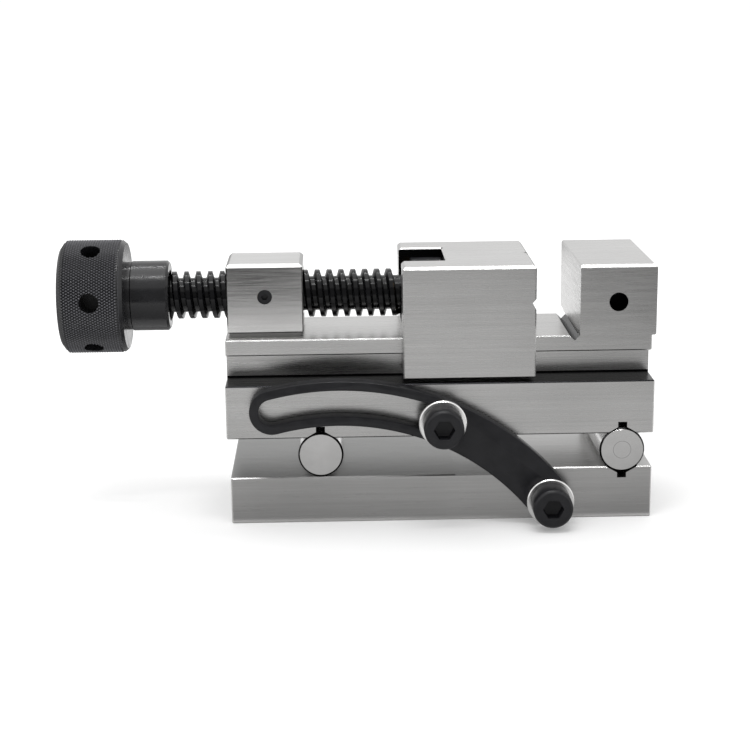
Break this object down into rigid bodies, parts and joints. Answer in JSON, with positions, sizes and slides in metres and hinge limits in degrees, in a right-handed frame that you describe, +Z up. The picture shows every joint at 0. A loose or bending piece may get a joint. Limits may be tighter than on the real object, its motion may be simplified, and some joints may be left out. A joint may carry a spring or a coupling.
{
  "type": "sine vise",
  "caption": "Sine vise: a screw vise with a saddle jaw on a rail, which tilts on rollers over a ground base and is locked by a slotted arc link.",
  "frame": {"origin": "middle of the base plate's underside", "axes": "+X along the vise towards the fixed jaw, +Z up, the arc link on the -Y side"},
  "size_m": [0.1962, 0.066, 0.092],
  "materials": {
    "ground_steel": "surface-ground tool steel",
    "polished_steel": "lapped hardened steel",
    "black_steel": "black oxide, lightly oiled",
    "bronze": "turned bronze"
  },
  "bodies": {
    "base": {"base_plate": "ground_steel", "link_pivot_screw": "black_steel", "link_pivot_washer": "polished_steel"},
    "tilting_vise": {"vise_body": "ground_steel", "hinge_roller": "polished_steel", "sine_roller": "polished_steel", "roller_screws": "black_steel", "nut_block": "ground_steel", "screw_nut": "bronze", "nut_set_screw": "black_steel", "nut_block_screws": "black_steel", "nut_block_dowels": "polished_steel", "angle_clamp_screw": "black_steel", "angle_clamp_washer": "polished_steel"},
    "sliding_jaw": {"movable_jaw": "ground_steel", "bearing_block": "black_steel", "bearing_block_screws": "black_steel", "thrust_washer": "bronze"},
    "spindle": {"lead_screw": "black_steel", "hand_knob": "black_steel", "knob_pin": "black_steel", "tip_nut": "black_steel"},
    "link": {"arc_link": "black_steel"}
  },
  "joints": [
    {"name": "tilt", "type": "hinge", "parent": "base", "child": "tilting_vise", "pos_m": [0.06, 0, 0.0234], "axis": [0, 1, 0], "range_deg": [0, 45]},
    {"name": "jaw_slide", "type": "slide", "parent": "tilting_vise", "child": "sliding_jaw", "axis": [1, 0, 0], "range_m": [-0.0323, 0.0141]},
    {"name": "screw_spin", "type": "hinge", "parent": "sliding_jaw", "child": "spindle", "pos_m": [-0.05, 0, 0.073], "axis": [1, 0, 0], "range_deg": [-2950, 1400]},
    {"name": "link_swing", "type": "hinge", "parent": "base", "child": "link", "pos_m": [0.0355, -0.0283, 0.0081], "axis": [0, 1, 0], "range_deg": [0, 53.2]}
  ],
  "couplings": [
    {"joint": "screw_spin", "follows": "jaw_slide", "rad_per_m": 1570.8},
    {"joint": "link_swing", "follows": "tilt", "ratio": 1.182}
  ]
}
